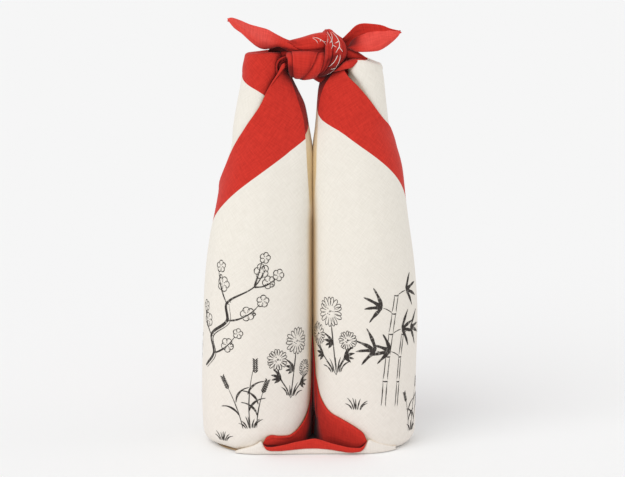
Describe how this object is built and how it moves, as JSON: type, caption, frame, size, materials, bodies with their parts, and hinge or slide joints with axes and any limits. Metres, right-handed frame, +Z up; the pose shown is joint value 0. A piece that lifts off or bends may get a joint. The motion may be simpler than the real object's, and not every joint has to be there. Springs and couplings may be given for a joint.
{
  "type": "furoshiki wrap",
  "caption": "Square wrapping cloth rolled round a pair of bottles stood side by side and tied over their mouths, with free corners.",
  "frame": {"origin": "middle of the base's box, on the surface that the wrap stands on", "axes": "+X to the right across the pair of rolls, +Y to the back, +Z up through the knot"},
  "size_m": [0.167, 0.0871, 0.3267],
  "materials": {
    "cotton": "matt slub cotton, cream field with a red border along the hems and red corners"
  },
  "bodies": {
    "root": {"furoshiki": "cotton"}
  },
  "joints": []
}
